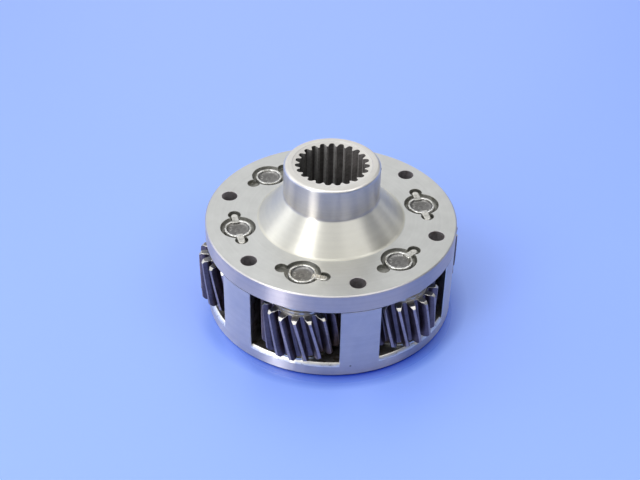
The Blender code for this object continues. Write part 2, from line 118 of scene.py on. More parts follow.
def steel(
    name,
    colour,
    roughness,
    spread=0.05,
    anisotropy=0.0,
    turned=0.0,
    turned_mm=0.16,
    smudge_mm=7.0,
    contrast=0.10,
    grain=0.0,
    grain_mm=0.35,
    stain_and_glint=None,
    stain_and_glint_share=0.5,
    scratch=0.0,
    metallic=1.0,
    painted_light_ramp=None,
):
    """Machined steel. turned is the depth of the lathe's fine grooves, which run round the piece's own Z axis; grain is a fine pitting."""
    made, tree, shader = nodes_of(name)
    link = tree.links.new
    where = tree.nodes.new("ShaderNodeTexCoord").outputs["Object"]
    parts = tree.nodes.new("ShaderNodeSeparateXYZ")
    link(where, parts.inputs[0])
    x, y, z = parts.outputs
    radius = math_node(tree, "SQRT", math_node(tree, "ADD", math_node(tree, "MULTIPLY", x, x), math_node(tree, "MULTIPLY", y, y)))
    # grooves: they change quickly with the radius and the height, and slowly round the turn
    groove_at = tree.nodes.new("ShaderNodeCombineXYZ")
    link(math_node(tree, "MULTIPLY", radius, 1000.0 / turned_mm), groove_at.inputs[0])
    link(math_node(tree, "MULTIPLY", z, 1000.0 / turned_mm), groove_at.inputs[1])
    link(math_node(tree, "MULTIPLY", math_node(tree, "ADD", x, math_node(tree, "MULTIPLY", y, 0.7)), 22.0), groove_at.inputs[2])
    grooves = noise(tree, groove_at.outputs[0], 1.0, 2.0, 0.6)
    wide_at = tree.nodes.new("ShaderNodeCombineXYZ")
    link(math_node(tree, "MULTIPLY", radius, 1000.0 / (turned_mm * 7)), wide_at.inputs[0])
    link(math_node(tree, "MULTIPLY", z, 1000.0 / (turned_mm * 7)), wide_at.inputs[1])
    bands = noise(tree, wide_at.outputs[0], 1.0, 1.0, 0.5)
    smudges = noise(tree, where, 1000.0 / smudge_mm, 4.0, 0.62)
    fine = noise(tree, where, 1000.0 / grain_mm, 3.0, 0.6)

    dark = tuple(c * (1 - contrast) for c in colour)
    light = tuple(min(1.0, c * (1 + contrast * 0.7)) for c in colour)
    tone = math_node(tree, "ADD", math_node(tree, "MULTIPLY", smudges, 0.62), math_node(tree, "MULTIPLY", bands, 0.38))
    shade = mixed(tree, ramp(tree, tone, 0.34, 0.66, 0.0, 1.0), dark, light)
    # patches of another colour: real stains on most pieces, painted glints on the pin dish
    if stain_and_glint:
        patch = noise(tree, where, 1000.0 / (smudge_mm * 0.42), 5.0, 0.7)
        mixer = tree.nodes.new("ShaderNodeMix")
        mixer.data_type = "RGBA"
        sockets = {s.identifier: s for s in mixer.inputs}
        edge = 0.72 - 0.45 * stain_and_glint_share
        link(ramp(tree, patch, edge - 0.05, edge + 0.09, 0.0, 1.0), sockets["Factor_Float"])
        link(shade, sockets["A_Color"])
        sockets["B_Color"].default_value = (*stain_and_glint, 1)
        shade = [s for s in mixer.outputs if s.identifier == "Result_Color"][0]
    if painted_light_ramp:
        # painted light and shade: the tone ramps across the piece, darker where the light falls less and lighter where
        # it falls more
        across = tree.nodes.new("ShaderNodeVectorMath")
        across.operation = "DOT_PRODUCT"
        link(where, across.inputs[0])
        across.inputs[1].default_value = painted_light_ramp[0]
        scaled = tree.nodes.new("ShaderNodeVectorMath")
        scaled.operation = "SCALE"
        link(shade, scaled.inputs[0])
        link(ramp(tree, across.outputs["Value"], *painted_light_ramp[1:]), scaled.inputs["Scale"])
        shade = scaled.outputs["Vector"]
    link(shade, shader.inputs["Base Color"])

    rough = math_node(tree, "ADD", roughness - spread, math_node(tree, "MULTIPLY", ramp(tree, tone, 0.3, 0.7, 0.0, 1.0), 2 * spread))
    rough = math_node(tree, "ADD", rough, math_node(tree, "MULTIPLY", math_node(tree, "SUBTRACT", fine, 0.5), spread), clamp=True)
    if scratch:
        # few thin scratches: a stretched noise, only its narrow crest
        turned_at = tree.nodes.new("ShaderNodeMapping")
        turned_at.inputs["Rotation"].default_value = (0.5, 0.3, 0.8)
        turned_at.inputs["Scale"].default_value = (900.0, 40.0, 60.0)
        link(where, turned_at.inputs["Vector"])
        lines = noise(tree, turned_at.outputs[0], 1.0, 1.0, 0.4)
        crest = ramp(tree, math_node(tree, "ABSOLUTE", math_node(tree, "SUBTRACT", lines, 0.64)), 0.0, 0.012, 1.0, 0.0)
        rough = math_node(tree, "ADD", rough, math_node(tree, "MULTIPLY", crest, 0.16 * scratch), clamp=True)
    link(rough, shader.inputs["Roughness"])
    shader.inputs["Metallic"].default_value = metallic
    if anisotropy:
        shader.inputs["Anisotropic"].default_value = anisotropy
        shader.inputs["Anisotropic Rotation"].default_value = 0.25  # the grooves run round, so reflections stretch across them
        tangent = tree.nodes.new("ShaderNodeTangent")
        tangent.direction_type = "RADIAL"
        tangent.axis = "Z"
        link(tangent.outputs[0], shader.inputs["Tangent"])

    height = math_node(tree, "MULTIPLY", grooves, turned)
    if grain:
        height = math_node(tree, "ADD", height, math_node(tree, "MULTIPLY", fine, grain))
    height = math_node(tree, "ADD", height, math_node(tree, "MULTIPLY", smudges, 2.0))
    bump = tree.nodes.new("ShaderNodeBump")
    bump.inputs["Strength"].default_value = 1.0
    bump.inputs["Distance"].default_value = 1e-6  # heights above are in micrometres
    link(height, bump.inputs["Height"])
    link(bump.outputs["Normal"], shader.inputs["Normal"])
    return made


FACE = steel("flange_face_steel", (0.615, 0.625, 0.615), 0.42, 0.04, anisotropy=0.35, turned=1.6, turned_mm=0.22, contrast=0.07, scratch=0.5)
HUB_FACE = steel("hub_face_steel", (0.73, 0.715, 0.685), 0.40, 0.04, anisotropy=0.3, turned=1.6, turned_mm=0.22, contrast=0.07, scratch=0.4)
SIDE = steel("turned_side_steel", (0.59, 0.54, 0.54), 0.37, 0.04, anisotropy=1.0, turned=0.6, contrast=0.07, scratch=0.3)
HUB = steel("hub_steel", (0.62, 0.58, 0.51), 0.315, 0.04, anisotropy=0.93, turned=0.7, contrast=0.07, scratch=0.3)
CONE = steel("cone_steel", (0.71, 0.70, 0.63), 0.40, 0.05, anisotropy=0.93, turned=0.6, turned_mm=0.3, contrast=0.07, smudge_mm=9.0, scratch=0.4)
EDGE = steel("bright_edge_steel", (0.55, 0.535, 0.54), 0.40, 0.05, turned=1.0, contrast=0.08)
# painted light and shade in the splined bore: its tone ramps from dark on the camera's left wall to light on its right,
# as the key light falls
BORE_PAINTED_LIGHT = ((61.0, -15.0, 0.0), -1.0, 1.0, 0.25, 1.35)
# the roots darker than the tips is painted shade in the grooves; the lighter flank material is painted light on one
# side of every groove
SPLINE = steel("spline_root_steel", (0.20, 0.19, 0.187), 0.36, 0.06, contrast=0.35, grain=1.5, metallic=0.6, painted_light_ramp=BORE_PAINTED_LIGHT)
SPLINE_TIP = steel("spline_tip_steel", (0.40, 0.385, 0.38), 0.38, 0.06, contrast=0.40, smudge_mm=9.0, grain=1.0, metallic=0.6, painted_light_ramp=BORE_PAINTED_LIGHT)
SPLINE_LIT_FLANK = steel("spline_lit_flank_steel", (0.86, 0.84, 0.83), 0.36, 0.06, contrast=0.40, smudge_mm=12.0, grain=1.0, metallic=0.5, painted_light_ramp=BORE_PAINTED_LIGHT)
SINK = steel("sink_steel", (0.30, 0.30, 0.28), 0.50, 0.08, contrast=0.3, grain=5.0, stain_and_glint=(0.16, 0.155, 0.13), stain_and_glint_share=0.35)
# the braze holes' walls are painted darker towards their bottom: painted shade in the holes
BRAZE = steel("braze_hole_steel", (0.56, 0.54, 0.565), 0.50, 0.08, contrast=0.3, grain=5.0, stain_and_glint=(0.42, 0.365, 0.35), stain_and_glint_share=0.3, painted_light_ramp=((0.0, 0.0, 1000.0), 41.5, 47.7, 0.80, 1.10))
CAGE = steel("cage_side_steel", (0.57, 0.56, 0.605), 0.38, 0.04, anisotropy=0.97, turned=0.6, contrast=0.08, scratch=0.5)
# the dark grey of these walls is painted shade in the windows and inside the cage
MILLED = steel("milled_wall_steel", (0.28, 0.275, 0.27), 0.45, 0.07, contrast=0.25, grain=3.0, stain_and_glint=(0.13, 0.11, 0.08), stain_and_glint_share=0.4)
# the sill colour, much lighter than the cage's, is partly edge wear and partly a painted highlight on the window edges
# and chamfers
SILL = steel("sill_steel", (0.90, 0.885, 0.84), 0.40, 0.06, turned=1.0, contrast=0.14, stain_and_glint=(0.42, 0.40, 0.33), stain_and_glint_share=0.22)
# the flanks' dark colour, far below the lands', is painted shade between the teeth
FLANK = steel("gear_flank_steel", (0.16, 0.125, 0.14), 0.36, 0.06, contrast=0.30, grain=2.0, grain_mm=0.5)
LAND = steel("gear_land_steel", (0.43, 0.35, 0.345), 0.42, 0.06, contrast=0.22, grain=1.5, stain_and_glint=(0.20, 0.165, 0.17), stain_and_glint_share=0.22)
# the upper tooth ends take the lit copy and the lower ends the shaded copy of one material: the lower ends' darker
# colour is painted shade
TOOTH_END = steel("tooth_end_steel", (0.60, 0.59, 0.565), 0.34, 0.07, contrast=0.18, grain=2.0, stain_and_glint=(0.30, 0.29, 0.27), stain_and_glint_share=0.20)
SHADED_TOOTH_END = steel("shaded_lower_tooth_end_steel", (0.26, 0.25, 0.245), 0.42, 0.07, contrast=0.22, grain=2.0, stain_and_glint=(0.16, 0.15, 0.14), stain_and_glint_share=0.3)
GEAR_FACE = steel("gear_face_steel", (0.24, 0.235, 0.24), 0.38, 0.06, turned=4.0, contrast=0.25)
WASHER = steel("washer_steel", (0.58, 0.59, 0.56), 0.34, 0.06, turned=2.0, contrast=0.15)
BRONZE = steel("bronze_washer", (0.40, 0.31, 0.20), 0.42, 0.07, turned=2.0, contrast=0.18, stain_and_glint=(0.30, 0.20, 0.10), stain_and_glint_share=0.25)
PIN_RIM = steel("pin_rim_steel", (0.88, 0.88, 0.85), 0.27, 0.07, contrast=0.25, smudge_mm=4.0, grain=2.0, stain_and_glint=(0.38, 0.38, 0.35), stain_and_glint_share=0.45)
# the dish's light patches are painted glints
PIN_DISH = steel("pin_dish_steel", (0.20, 0.198, 0.195), 0.38, 0.08, contrast=0.45, grain=3.0, grain_mm=0.6, smudge_mm=5.0, stain_and_glint=(0.50, 0.50, 0.48), stain_and_glint_share=0.25)
PIN_BODY = steel("pin_body_steel", (0.50, 0.50, 0.51), 0.20, 0.04, turned=1.0, contrast=0.08)
STAKED = steel("staked_steel", (0.66, 0.655, 0.62), 0.30, 0.08, contrast=0.30, grain=9.0, grain_mm=0.9, stain_and_glint=(0.30, 0.29, 0.26), stain_and_glint_share=0.3)
ROLLER = steel("roller_steel", (0.62, 0.62, 0.63), 0.14, 0.04, turned=0.5, contrast=0.06)
NEEDLE_CAGE = steel("needle_cage_steel", (0.30, 0.29, 0.28), 0.40, 0.06, contrast=0.2, grain=3.0)
RING = steel("snap_ring_steel", (0.13, 0.13, 0.135), 0.42, 0.07, contrast=0.25, grain=3.0)
PLATE = steel("retainer_plate_steel", (0.50, 0.50, 0.49), 0.36, 0.06, anisotropy=0.3, turned=3.0, contrast=0.14, scratch=0.8)


# ------------------------------------------------------------------ mesh helpers
def polar(r, degrees):
    a = math.radians(degrees)
    return r * math.cos(a), r * math.sin(a)


def planet_degrees(index):
    return 360.0 / PLANETS * (index - 1)


def made_mesh(name, points, faces, materials, which=None, sharp=32.0, weighted=True):
    """An object of points in millimetres. Its faces are turned outwards."""
    mesh = bpy.data.meshes.new(name)
    mesh.from_pydata([(x * MM, y * MM, z * MM) for x, y, z in points], [], faces)
    for m in materials:
        mesh.materials.append(m)
    if which:
        mesh.polygons.foreach_set("material_index", which)
    bm = bmesh.new()
    bm.from_mesh(mesh)
    bmesh.ops.recalc_face_normals(bm, faces=bm.faces)
    bm.to_mesh(mesh)
    bm.free()
    mesh.shade_smooth()
    mesh.set_sharp_from_angle(angle=math.radians(sharp))
    obj = bpy.data.objects.new(name, mesh)
    bpy.context.scene.collection.objects.link(obj)
    if weighted:
        weigh(obj)
    return obj


def weigh(obj):
    modifier = obj.modifiers.new("flat_faces_stay_flat", "WEIGHTED_NORMAL")
    modifier.keep_sharp = True
    modifier.weight = 60


def rounded(corners):
    """A closed profile whose corners (r, z, radius, material) are rounded. Each point keeps the material of the side that follows it."""
    out = []
    count = len(corners)
    for i, (r, z, radius, mat) in enumerate(corners):
        here = Vector((r, z))
        before = Vector(corners[i - 1][:2])
        after = Vector(corners[(i + 1) % count][:2])
        u, v = (before - here), (after - here)
        if radius <= 0:
            out.append((r, z, mat))
            continue
        angle = u.angle(v)
        turn = math.pi - angle
        reach = min(radius * math.tan(turn / 2), 0.49 * u.length, 0.49 * v.length)
        radius = reach / math.tan(turn / 2)
        start, end = here + u.normalized() * reach, here + v.normalized() * reach
        centre = here + (u.normalized() + v.normalized()).normalized() * (radius / math.sin(angle / 2))
        steps = max(2, math.ceil(math.degrees(turn) / 15))
        a, b = start - centre, end - centre
        for k in range(steps + 1):
            t = k / steps
            direction = a.slerp(b, t) if a.angle(b) > 1e-6 else a
            p = centre + direction.normalized() * radius
            last = corners[i - 1][3] if k == 0 else mat
            out.append((p.x, p.y, mat if k == steps else last))
    return out


def lathe(name, profile, steps, materials, start=0.0, end=360.0, **more):
    """Turns a closed profile of (r, z, material) about Z. A part turn gets closed ends."""
    whole = abs(end - start - 360.0) < 1e-9
    rings = steps if whole else steps + 1
    n = len(profile)
    points, faces, which = [], [], []
    for k in range(rings):
        degrees = start + (end - start) * k / steps
        for r, z, _ in profile:
            points.append((*polar(r, degrees), z))
    for k in range(steps):
        a, b = k * n, ((k + 1) % rings) * n
        for i in range(n):
            j = (i + 1) % n
            faces.append((a + i, a + j, b + j, b + i))
            which.append(profile[i][2])
    if not whole:
        faces.append(tuple(range(n)))
        faces.append(tuple(range((rings - 1) * n, rings * n)))
        which += [profile[0][2]] * 2
    return made_mesh(name, points, faces, materials, which, **more)


def turned_solid(name, profile, steps, materials, **more):
    """Turns an open profile of (r, z, material) whose two ends lie on the axis."""
    n = len(profile) - 2
    points = [(0, 0, profile[0][1]), (0, 0, profile[-1][1])]
    faces, which = [], []
    for k in range(steps):
        for r, z, _ in profile[1:-1]:
            points.append((*polar(r, 360.0 * k / steps), z))
    for k in range(steps):
        a, b = 2 + k * n, 2 + ((k + 1) % steps) * n
        faces.append((0, a, b))
        which.append(profile[0][2])
        for i in range(n - 1):
            faces.append((a + i, a + i + 1, b + i + 1, b + i))
            which.append(profile[i + 1][2])
        faces.append((a + n - 1, 1, b + n - 1))
        which.append(profile[-2][2])
    return made_mesh(name, points, faces, materials, which, **more)


def stacked(name, rows, materials, which_rows=None, cutter=False):
    """A solid of outlines (each a list of (x, y)) at rising heights: rows of (outline, z)."""
    n = len(rows[0][0])
    points = [(x, y, z) for outline, z in rows for x, y in outline]
    faces, which = [], []
    for k in range(len(rows) - 1):
        for i in range(n):
            j = (i + 1) % n
            faces.append((k * n + i, k * n + j, (k + 1) * n + j, (k + 1) * n + i))
            which.append(which_rows[k] if which_rows else 0)
    faces.append(tuple(reversed(range(n))))
    faces.append(tuple(range((len(rows) - 1) * n, len(rows) * n)))
    which += [0, 0]
    obj = made_mesh(name, points, faces, materials, which, weighted=not cutter)
    if cutter:
        obj.hide_render = True
        obj.display_type = "WIRE"
    return obj


def circle(r, count, centre=(0.0, 0.0), start=0.0):
    return [(centre[0] + x, centre[1] + y) for x, y in (polar(r, start + 360.0 * i / count) for i in range(count))]


def joined(name, objects):
    """One mesh of several objects' meshes, with their materials."""
    bm = bmesh.new()
    mesh = bpy.data.meshes.new(name)
    looks = []
    for obj in objects:
        part = obj.data
        part.transform(obj.matrix_basis)
        slots = []
        for m in part.materials:
            if m not in looks:
                looks.append(m)
                mesh.materials.append(m)
            slots.append(looks.index(m))
        before = len(bm.faces)
        bm.from_mesh(part)
        bm.faces.ensure_lookup_table()
        for face in bm.faces[before:]:
            face.material_index = slots[face.material_index]
    bm.to_mesh(mesh)
    bm.free()
    for obj in objects:
        bpy.data.objects.remove(obj)
    made = bpy.data.objects.new(name, mesh)
    bpy.context.scene.collection.objects.link(made)
    return made


def boolean(target, other, operation="DIFFERENCE"):
    modifier = target.modifiers.new(operation.lower() + "_" + other.name, "BOOLEAN")
    modifier.operation = operation
    modifier.solver = "EXACT"
    modifier.material_mode = "TRANSFER"
    modifier.object = other


def settled(obj, sharp=32.0):
    """Applies the object's modifiers, and removes the cutters that they used."""
    used = [m.object for m in obj.modifiers if m.type == "BOOLEAN"]
    bpy.context.view_layer.update()
    graph = bpy.context.evaluated_depsgraph_get()
    mesh = bpy.data.meshes.new_from_object(obj.evaluated_get(graph), depsgraph=graph)
    obj.modifiers.clear()
    obj.data = mesh
    for other in used:
        bpy.data.objects.remove(other)
    bm = bmesh.new()
    bm.from_mesh(mesh)
    bmesh.ops.remove_doubles(bm, verts=bm.verts, dist=2e-7)
    bmesh.ops.dissolve_degenerate(bm, dist=2e-7, edges=bm.edges)
    bm.to_mesh(mesh)
    bm.free()
    mesh.shade_smooth()
    mesh.set_sharp_from_angle(angle=math.radians(sharp))
    weigh(obj)
    return obj


# ------------------------------------------------------------------ gears
def involute(a):
    return math.tan(a) - a


def half_angle(teeth, radius):
    """Half of a tooth's width at a radius, in degrees."""
    pitch_r = MODULE * teeth / 2
    base_r = pitch_r * math.cos(PRESSURE)
    at_pitch = (math.pi * MODULE / 2 - BACKLASH) / 2 / pitch_r
    here = math.acos(min(1.0, base_r / radius))
    return math.degrees(at_pitch + involute(PRESSURE) - involute(here))


def gear_outline(teeth, turned, tip_r, shrink=0.0):
    """Half-tooth points from the root to the tip, mirrored. The number of points doesn't depend on tip_r."""
    pitch_r = MODULE * teeth / 2
    root_r = pitch_r - 1.25 * MODULE + shrink * 0
    base_r = pitch_r * math.cos(PRESSURE)
    low = max(base_r, root_r + 0.55)
    thin = math.degrees(shrink / pitch_r)
    at_low = half_angle(teeth, low)
    edge = 0.16  # the rounding along the tooth's tip
    half = [
        (root_r - shrink * 0.5, at_low + math.degrees(0.75 / root_r) - thin),
        (root_r + 0.05 - shrink * 0.5, at_low + math.degrees(0.40 / root_r) - thin),
        (root_r + 0.22, at_low + math.degrees(0.14 / root_r) - thin),
        (root_r + 0.50, at_low + math.degrees(0.02 / root_r) - thin),
    ]
    top = tip_r - edge - shrink
    for k in range(6):
        r = low + (top - low) * (k + 0.35) / 5.35
        half.append((r, half_angle(teeth, r) - thin))
    at_top = half_angle(teeth, top)
    half.append((tip_r - edge * 0.30 - shrink, at_top - math.degrees(edge * 0.42 / tip_r) - thin))
    half.append((tip_r - shrink, at_top - math.degrees(edge * 1.15 / tip_r) - thin))
    out = []
    for k in range(teeth):
        centre = turned + 360.0 * k / teeth
        out += [polar(r, centre - a) for r, a in half]
        out += [polar(r, centre + a) for r, a in reversed(half)]
    return out, len(half)


def gear(name, teeth, hand, upper, lower, straight_after, chamfer, materials, layers=14):
    """A helical gear. upper and lower are rings of (radius, z, material) from the teeth's end face to the bore's end."""
    flank, land, end, face, inside, shaded_end = range(6)
    pitch_r = MODULE * teeth / 2
    tip_r = pitch_r + MODULE
    twist = math.degrees(math.tan(HELIX) / pitch_r)
    burr = 0.14
    heights = [(TEETH_Z0, tip_r - chamfer, burr), (TEETH_Z0 + burr, tip_r - chamfer + burr, 0.0), (TEETH_Z0 + chamfer, tip_r, 0.0)]
    for k in range(1, layers):
        heights.append((TEETH_Z0 + chamfer + (TEETH_Z1 - TEETH_Z0 - 2 * chamfer) * k / layers, tip_r, 0.0))
    heights += [(TEETH_Z1 - chamfer, tip_r, 0.0), (TEETH_Z1 - burr, tip_r - chamfer + burr, 0.0), (TEETH_Z1, tip_r - chamfer, burr)]
    points, faces, which = [], [], []
    for z, tip, shrink in heights:
        outline, per = gear_outline(teeth, hand * twist * (z - TEETH_Z1), tip, shrink)
        points += [(x, y, z) for x, y in outline]
    n = len(outline)
    last = len(heights) - 1
    for k in range(last):
        for i in range(n):
            j = (i + 1) % n
            faces.append((k * n + i, k * n + j, (k + 1) * n + j, (k + 1) * n + i))
            place = i % (2 * per)
            on_land = per - 3 <= place <= per + 1
            at_end = k in (0, last - 1)
            on_chamfer = k in (1, last - 2) or at_end
            if (on_land and on_chamfer) or at_end:
                # the lower tooth ends get the darker copy: painted shade
                which.append(end if k > 2 else shaded_end)
            else:
                which.append(land if on_land else flank)

    def close(ring_start, profile, straightened=None):
        """From the teeth's flat end, by rings of the teeth's own number of points, to the bore. Rings after the one named straightened line up with the other end's."""
        current = ring_start
        for ring, (r, z, mat) in enumerate(profile):
            spin = 0.0
            if straightened is not None and ring > straightened:
                spin = math.radians(hand * twist * (TEETH_Z1 - TEETH_Z0))
            base = len(points)
            for i in range(n):
                x, y = points[ring_start + i][:2]
                a = math.atan2(y, x) + spin
                points.append((r * math.cos(a), r * math.sin(a), z))
            for i in range(n):
                j = (i + 1) % n
                faces.append((current + i, current + j, base + j, base + i))
                which.append(mat)
            current = base
        return current

    top_ring = close(last * n, upper)
    low_ring = close(0, lower, straight_after)
    # the bore's wall joins the two inner rings, which lie at the same radius
    for i in range(n):
        j = (i + 1) % n
        faces.append((low_ring + i, low_ring + j, top_ring + j, top_ring + i))
        which.append(inside)
    return made_mesh(name, points, faces, materials, which, sharp=30.0)


def planet_phase(degrees):
    pitch = 360.0 / PLANET_TEETH
    return (degrees + 180 + pitch / 2 - (MESH_ANGLE - degrees) * SUN_TEETH / PLANET_TEETH) % pitch


# ------------------------------------------------------------------ carrier: flange and hub
face, side, hub, edge, bore_cut, cone, hub_face = range(7)
profile = rounded(
    [
        (R_OUT - 0.25, FLANGE_Z0, 0.0, side),
        (R_OUT, FLANGE_Z0 + 0.25, 0.08, side),
        (R_OUT, FLANGE_Z1 - 0.55, 0.25, edge),
        (R_OUT - 0.55, FLANGE_Z1, 0.25, face),
        (34.6, FLANGE_Z1, 2.4, cone),
        (HUB_R, 61.25, 2.4, hub),
        (HUB_R, HUB_Z1, 1.75, hub_face),
        (18.80, HUB_Z1, 0.06, edge),
        (18.68, HUB_Z1 - 0.13, 0.06, hub_face),
        (15.2, HUB_Z1 - 0.62, 0.25, bore_cut),
        (15.2, FLANGE_Z0 + 1.0, 0.2, bore_cut),
        (16.2, FLANGE_Z0, 0.0, side),
    ]
)
flange = lathe("flange_and_hub", profile, 192, [FACE, SIDE, HUB, EDGE, SPLINE_TIP, CONE, HUB_FACE])

pitch = 360.0 / 23
outline = []
for k in range(23):
    for r, a in (
        (14.8, -6.85),
        (15.35, -6.45),
        (15.9, -5.6),
        (16.4, -4.75),
        (16.85, -3.85),
        (17.15, -2.95),
        (17.31, -1.9),
        (17.36, 0.0),
        (17.31, 1.9),
        (17.15, 2.95),
        (16.85, 3.85),
        (16.4, 4.75),
        (15.9, 5.6),
        (15.35, 6.45),
        (14.8, 6.85),
    ):
        outline.append(polar(r, 171.03 + pitch * k + a))
spline = stacked("spline_cut", [(outline, FLANGE_Z0 - 1.2), (outline, HUB_Z1 + 1.2)], [SPLINE, SPLINE_LIT_FLANK], cutter=True)
# one flank of each groove takes the lighter flank material: painted light
for p in spline.data.polygons:
    if p.index < len(outline) and p.index % 15 in (1, 2, 3, 4):
        p.material_index = 1
boolean(flange, spline)

cutters = {"sink": [], "notch": [], "braze": []}
for i in range(1, PLANETS + 1):
    a = math.radians(planet_degrees(i))
    x, y = polar(CENTRE, planet_degrees(i))
    cutters["sink"].append(
        stacked(
            f"sink_{i}",
            [
                (circle(6.65, 64, (x, y)), FLANGE_Z0 - 1.3),
                (circle(6.65, 64, (x, y)), SINK_Z),
                (circle(8.12, 64, (x, y)), SINK_Z),
                (circle(8.25, 64, (x, y)), FLANGE_Z1 - 0.16),
                (circle(8.55, 64, (x, y)), FLANGE_Z1 + 0.14),
                (circle(8.55, 64, (x, y)), FLANGE_Z1 + 1.3),
            ],
            [SINK],
            cutter=True,
        )
    )
    for s in (-1, 1):
        at = (x - s * NOTCH_OFFSET * math.sin(a), y + s * NOTCH_OFFSET * math.cos(a))
        cutters["notch"].append(
            stacked(
                f"notch_{i}_{s + 1}",
                [
                    (circle(NOTCH_R - 0.25, 32, at), SINK_Z + 0.05),
                    (circle(NOTCH_R, 32, at), SINK_Z + 0.35),
                    (circle(NOTCH_R, 32, at), FLANGE_Z1 - 0.12),
                    (circle(NOTCH_R + 0.26, 32, at), FLANGE_Z1 + 0.14),
                    (circle(NOTCH_R + 0.26, 32, at), FLANGE_Z1 + 1.1),
                ],
                [SINK],
                cutter=True,
            )
        )
    at = polar(51.5, planet_degrees(i) + 30)
    cutters["braze"].append(
        stacked(
            f"braze_{i}",
            [
                (circle(3.8, 48, at), FLANGE_Z0 - 1.1),
                (circle(3.8, 48, at), FLANGE_Z1 - 0.12),
                (circle(4.06, 48, at), FLANGE_Z1 + 0.14),
                (circle(4.06, 48, at), FLANGE_Z1 + 1.2),
            ],
            [BRAZE],
            cutter=True,
        )
    )
for key, members in cutters.items():
    whole = joined(key + "_cut", members)
    whole.hide_render = True
    boolean(flange, whole)
settled(flange)
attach(flange, "carrier")
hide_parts("carrier_flange_hub")

# ------------------------------------------------------------------ carrier: cage
profile = rounded(
    [
        (R_OUT - 0.6, 0.0, 0.2, 0),
        (R_OUT, 0.6, 0.2, 0),
        (R_OUT, CAGE_TOP - 0.06, 0.0, 0),
        (R_OUT - 0.06, CAGE_TOP, 0.0, 1),
        (32.0, CAGE_TOP, 0.1, 1),
        (32.0, 3.6, 0.0, 1),
        (33.5, 3.6, 0.0, 1),
        (33.5, 1.9, 0.0, 1),
        (32.0, 1.9, 0.0, 1),
        (32.0, 0.5, 0.15, 2),
        (32.5, 0.0, 0.15, 0),
    ]
)
cage = lathe("cage", profile, 192, [CAGE, MILLED, SILL])
windows, sills, bores = [], [], []
edge_x = math.sqrt(R_OUT**2 - WINDOW_HALF**2)
for i in range(1, PLANETS + 1):
    turn = planet_degrees(i)
    flare = WINDOW_HALF + (66.0 - edge_x + 0.35) * 0.75
    local = [(66.0, -flare), (66.0, flare), (edge_x - 0.35, WINDOW_HALF), (CENTRE + 6, WINDOW_HALF), (CENTRE + 4, WINDOW_HALF - 0.1), (CENTRE + 2, WINDOW_HALF - 0.45)]
    for k in range(33):
        px, py = polar(POCKET_R, 90 + 180.0 * k / 32)
        local.append((CENTRE + px, py))
    local += [(CENTRE + 2, -WINDOW_HALF + 0.45), (CENTRE + 4, -WINDOW_HALF + 0.1), (CENTRE + 6, -WINDOW_HALF), (edge_x - 0.35, -WINDOW_HALF)]
    turned = [polar(math.hypot(px, py), math.degrees(math.atan2(py, px)) + turn) for px, py in local]
    windows.append(stacked(f"window_{i}", [(turned, PLATE_Z1), (turned, CAGE_TOP + 1)], [MILLED], cutter=True))
    # the flared sides are the bright edges of the window; their light sill colour is partly edge wear and partly a
    # painted highlight
    windows[-1].data.materials.append(SILL)
    for p in windows[-1].data.polygons:
        if p.index in (1, len(local) - 1):
            p.material_index = 1
    half = math.degrees(math.asin(WINDOW_HALF / R_OUT)) + 0.15
    low, high, total = R_OUT - 1.6, R_OUT + 0.6, R_OUT - 1.5 + PLATE_Z1
    sills.append(
        lathe(
            f"sill_{i}",
            [(low, total - low, 0), (high, total - high, 0), (high, total - low, 0)],
            28,
            [SILL],
            turn - half,
            turn + half,
            weighted=False,
        )
    )
    at = polar(CENTRE, turn)
    bores.append(
        stacked(
            f"cage_bore_{i}",
            [(circle(7.0, 48, at), -1.0), (circle(7.0, 48, at), 0.0), (circle(6.65, 48, at), 0.35), (circle(6.65, 48, at), PLATE_Z1 + 1)],
            [MILLED],
            cutter=True,
        )
    )
    at = polar(51.5, turn + 30)
    bores.append(stacked(f"cage_hole_{i}", [(circle(3.0, 32, at), CAGE_TOP - 3), (circle(3.0, 32, at), CAGE_TOP + 1)], [BRAZE], cutter=True))
mark = turned_solid("punch_mark", [(0, -0.5, 0), (0.62, 0.0, 0), (0, 0.5, 0)], 16, [MILLED], weighted=False)
mark.matrix_basis = Matrix.Translation(Vector((*polar(R_OUT + 0.08, MARK_ANGLE), MARK_Z)) * MM) @ Matrix.Rotation(math.radians(MARK_ANGLE), 4, "Z") @ Matrix.Rotation(math.pi / 2, 4, "Y")
bores.append(mark)
for name, members in (("window_cut", windows), ("sill_cut", sills), ("bore_cut", bores)):
    whole = joined(name, members)
    whole.hide_render = True
    boolean(cage, whole)
settled(cage)
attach(cage, "carrier")
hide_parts("carrier_cage")

# ------------------------------------------------------------------ planets, pins, bearings and washers
GEAR_LOOK = [FLANK, LAND, TOOTH_END, GEAR_FACE, PIN_BODY, SHADED_TOOTH_END]


def ring_profile(inner, outer, z0, z1, edge_r=0.18, mats=(0, 0)):
    flat, edge_mat = mats
    return rounded([(inner, z0, edge_r, flat), (outer, z0, edge_r, edge_mat), (outer, z1, edge_r, flat), (inner, z1, edge_r, flat)])


def at_axis(obj, index):
    """Moves a piece made on the origin to a planet's axis."""
    x, y = polar(CENTRE, planet_degrees(index))
    obj.location = (x * MM, y * MM, 0)
    return obj


def spun(obj, degrees):
    """Turns a piece's mesh about its own Z axis."""
    obj.data.transform(Matrix.Rotation(math.radians(degrees), 4, "Z"))
    return obj


